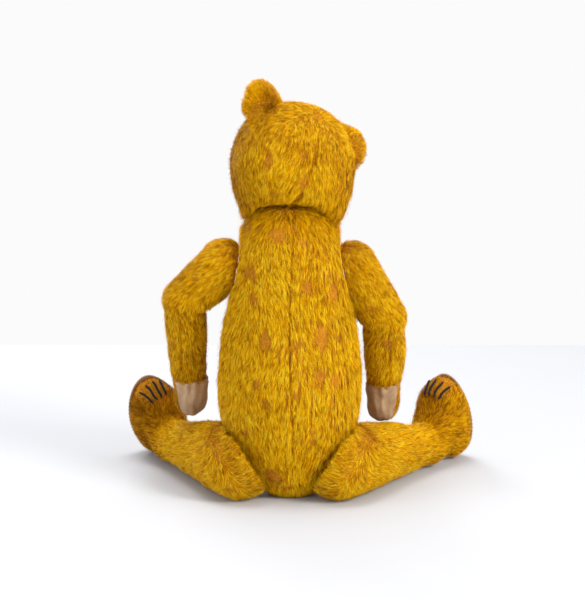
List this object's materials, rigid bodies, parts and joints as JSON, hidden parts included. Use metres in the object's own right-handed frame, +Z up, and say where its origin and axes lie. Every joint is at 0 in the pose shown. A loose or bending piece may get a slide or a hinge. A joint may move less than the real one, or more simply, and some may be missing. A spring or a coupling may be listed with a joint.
{
  "type": "jointed teddy bear",
  "caption": "Seated jointed teddy bear in worn golden mohair, with disc-jointed head, arms and legs, cloth paw pads and stitched claws.",
  "frame": {"origin": "middle of the flat seat under the body, on the floor", "axes": "+Z up, the bear faces -Y, its own left side is +X"},
  "size_m": [0.2893, 0.1831, 0.3229],
  "materials": {
    "mohair": "long golden pile on woven backing",
    "wood_wool": "fibrous",
    "paw_cloth": "plain weave",
    "sole_felt": "worn felt",
    "black_thread": "twisted thread",
    "button_eye": "polished",
    "hardboard": "pressed board",
    "washer_steel": "plain",
    "pin_steel": "plain"
  },
  "bodies": {
    "torso": {"torso_left": "mohair", "torso_right": "mohair", "torso_stuffing": "wood_wool", "neck_body_disc": "hardboard", "neck_body_washer": "washer_steel", "shoulder_left_body_disc": "hardboard", "shoulder_left_body_washer": "washer_steel", "shoulder_right_body_disc": "hardboard", "shoulder_right_body_washer": "washer_steel", "hip_left_body_disc": "hardboard", "hip_left_body_washer": "washer_steel", "hip_right_body_disc": "hardboard", "hip_right_body_washer": "washer_steel"},
    "head": {"head_left": "mohair", "head_right": "mohair", "head_gusset": "mohair", "head_stuffing": "wood_wool", "ear_left": "mohair", "ear_right": "mohair", "eye_left": "button_eye", "eye_right": "button_eye", "nose_stitching": "black_thread", "mouth_stitching": "black_thread", "neck_head_disc": "hardboard", "neck_head_washer": "washer_steel", "neck_pin": "pin_steel"},
    "arm_left": {"arm_left": "mohair", "paw_pad_left": "paw_cloth", "arm_stuffing_left": "wood_wool", "shoulder_left_arm_disc": "hardboard", "shoulder_left_arm_washer": "washer_steel", "shoulder_left_pin": "pin_steel"},
    "arm_right": {"arm_right": "mohair", "paw_pad_right": "paw_cloth", "arm_stuffing_right": "wood_wool", "shoulder_right_arm_disc": "hardboard", "shoulder_right_arm_washer": "washer_steel", "shoulder_right_pin": "pin_steel"},
    "leg_left": {"leg_left": "mohair", "leg_stuffing_left": "wood_wool", "foot_pad_left": "sole_felt", "claw_stitches_left": "black_thread", "hip_left_leg_disc": "hardboard", "hip_left_leg_washer": "washer_steel", "hip_left_pin": "pin_steel"},
    "leg_right": {"leg_right": "mohair", "leg_stuffing_right": "wood_wool", "foot_pad_right": "sole_felt", "claw_stitches_right": "black_thread", "hip_right_leg_disc": "hardboard", "hip_right_leg_washer": "washer_steel", "hip_right_pin": "pin_steel"}
  },
  "joints": [
    {"name": "neck_turn", "type": "hinge", "parent": "torso", "child": "head", "pos_m": [0, -0.006, 0.22572], "axis": [0, -0.2079, 0.9781], "continuous": true},
    {"name": "shoulder_left_swing", "type": "hinge", "parent": "torso", "child": "arm_left", "pos_m": [0.041, 0, 0.18], "axis": [-0.9848, 0, -0.1736], "range_deg": [-60, 100]},
    {"name": "shoulder_right_swing", "type": "hinge", "parent": "torso", "child": "arm_right", "pos_m": [-0.041, 0, 0.18], "axis": [-0.9848, 0, 0.1736], "range_deg": [0, 100]},
    {"name": "hip_left_swing", "type": "hinge", "parent": "torso", "child": "leg_left", "pos_m": [0.038, 0.003, 0.032], "axis": [-0.848, 0, 0.5299], "range_deg": [-100, 0]},
    {"name": "hip_right_swing", "type": "hinge", "parent": "torso", "child": "leg_right", "pos_m": [-0.038, 0.003, 0.032], "axis": [-0.848, 0, -0.5299], "range_deg": [-100, 0]}
  ]
}
